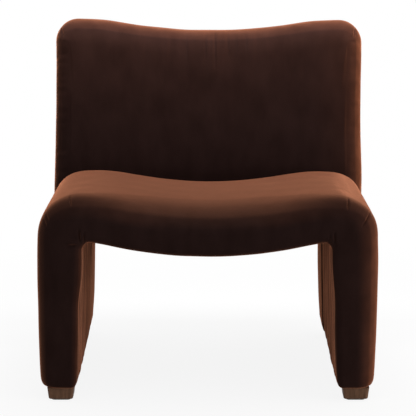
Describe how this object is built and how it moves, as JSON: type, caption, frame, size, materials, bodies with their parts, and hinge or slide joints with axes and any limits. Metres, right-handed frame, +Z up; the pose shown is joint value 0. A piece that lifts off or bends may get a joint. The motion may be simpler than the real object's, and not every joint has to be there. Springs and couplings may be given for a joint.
{
  "type": "occasional chair",
  "caption": "Low upholstered lounge chair: an arched saddle seat on slab legs, with a taller arched back behind it, in brown velvet on small wooden block feet.",
  "frame": {"origin": "on the floor under the middle of the chair's box", "axes": "+Z up, the sitter faces -Y, +X to the right as seen from the front"},
  "size_m": [0.7, 0.6766, 0.742],
  "materials": {
    "velvet": "chocolate brown velvet with a rust sheen",
    "wadding": "white polyester wadding",
    "foam": "open-cell upholstery foam",
    "felt": "pressed grey-brown felt",
    "webbing": "black elastic webbing",
    "spring_steel": "oiled spring wire",
    "plywood": "sanded birch plywood",
    "frame_timber": "planed beech",
    "hardboard": "smooth brown hardboard",
    "foot_wood": "dark stained beech, satin",
    "zinc_steel": "bright zinc plated",
    "brass": "plain turned brass"
  },
  "bodies": {
    "root": {"back_base_rib": "plywood", "back_cover": "velvet", "back_foam": "foam", "back_frame_screws": "zinc_steel", "back_middle_rail": "plywood", "back_rear_cover": "velvet", "back_rear_foam": "foam", "back_rear_lining": "hardboard", "back_top_rail": "plywood", "back_under_lining": "hardboard", "back_wadding": "wadding", "back_webbing": "webbing", "foot_blocks": "frame_timber", "foot_glides": "felt", "foot_hanger_bolts": "zinc_steel", "foot_inserts": "brass", "front_arch_rib": "plywood", "front_left_foot": "foot_wood", "front_right_foot": "foot_wood", "front_spring_rail": "plywood", "joining_bolts": "zinc_steel", "joining_tee_nuts": "zinc_steel", "joining_washers": "zinc_steel", "left_back_inner_lining": "hardboard", "left_back_post": "plywood", "left_back_side_foam": "foam", "left_bottom_rail": "frame_timber", "left_inner_lining": "hardboard", "left_leg_foam": "foam", "left_outer_lining": "hardboard", "left_shoulder_rail": "frame_timber", "rear_arch_rib": "plywood", "rear_left_foot": "foot_wood", "rear_right_foot": "foot_wood", "rear_spring_rail": "plywood", "right_back_inner_lining": "hardboard", "right_back_post": "plywood", "right_back_side_foam": "foam", "right_bottom_rail": "frame_timber", "right_inner_lining": "hardboard", "right_leg_foam": "foam", "right_outer_lining": "hardboard", "right_shoulder_rail": "frame_timber", "seat_cover": "velvet", "seat_foam": "foam", "seat_frame_screws": "zinc_steel", "seat_front_foam": "foam", "seat_insulator": "felt", "seat_springs": "spring_steel", "seat_tunnel_cover": "velvet", "seat_under_lining": "hardboard", "seat_wadding": "wadding", "spring_clips": "spring_steel"}
  },
  "joints": []
}
